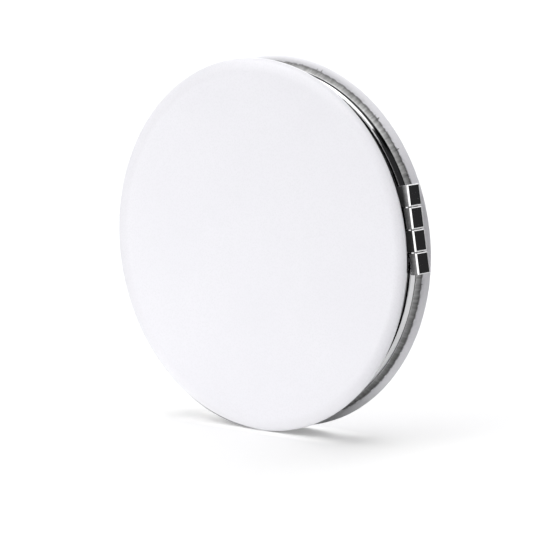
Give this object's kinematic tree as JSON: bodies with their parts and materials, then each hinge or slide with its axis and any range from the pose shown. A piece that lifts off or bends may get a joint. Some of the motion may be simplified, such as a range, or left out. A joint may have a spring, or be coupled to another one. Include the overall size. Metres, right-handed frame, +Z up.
{
  "type": "compact mirror",
  "caption": "Round folding compact mirror with white leather-covered lids, a recessed chrome waist and a box-knuckle side hinge, opening onto a mirror in each half.",
  "frame": {"origin": "on the floor, under the middle of the closed compact's box as it stands on its rim: 0.67 mm from where the round covers touch the floor, towards the hinge, and midway through the thickness", "axes": "+Z up; +Y through both covers towards the back cover, so the front cover faces -Y; +X to the right, the hinge's side. The round case is rolled on its rim as pictured, so the hinge stands 9.5 degrees above +X and its axis leans 9.5 degrees from +Z towards -X."},
  "size_m": [0.0714, 0.0088, 0.07],
  "materials": {
    "white_leather": "soft matt, fine grain",
    "foam": "thin closed-cell foam",
    "board": "grey board",
    "tape": "double-sided tape",
    "chrome": "bright plated",
    "mirror": "silvered glass with a ground bevel",
    "steel": "drawn or rolled steel"
  },
  "bodies": {
    "back_half": {"back_leather": "white_leather", "back_foam": "foam", "back_board": "board", "back_cover_tape": "tape", "back_frame": "chrome", "back_mirror_tape": "tape", "back_mirror": "mirror", "hinge_knuckle_2": "chrome", "hinge_knuckle_4": "chrome", "hinge_pin": "steel", "catch_tongue": "steel"},
    "front_half": {"front_leather": "white_leather", "front_foam": "foam", "front_board": "board", "front_cover_tape": "tape", "front_frame": "chrome", "front_mirror_tape": "tape", "front_mirror": "mirror", "hinge_knuckle_1": "chrome", "hinge_knuckle_3": "chrome"}
  },
  "joints": [
    {"name": "lid_hinge", "type": "hinge", "parent": "back_half", "child": "front_half", "pos_m": [0.03334, 0, 0.04069], "axis": [-0.165, 0, 0.9863], "range_deg": [0, 160]}
  ]
}
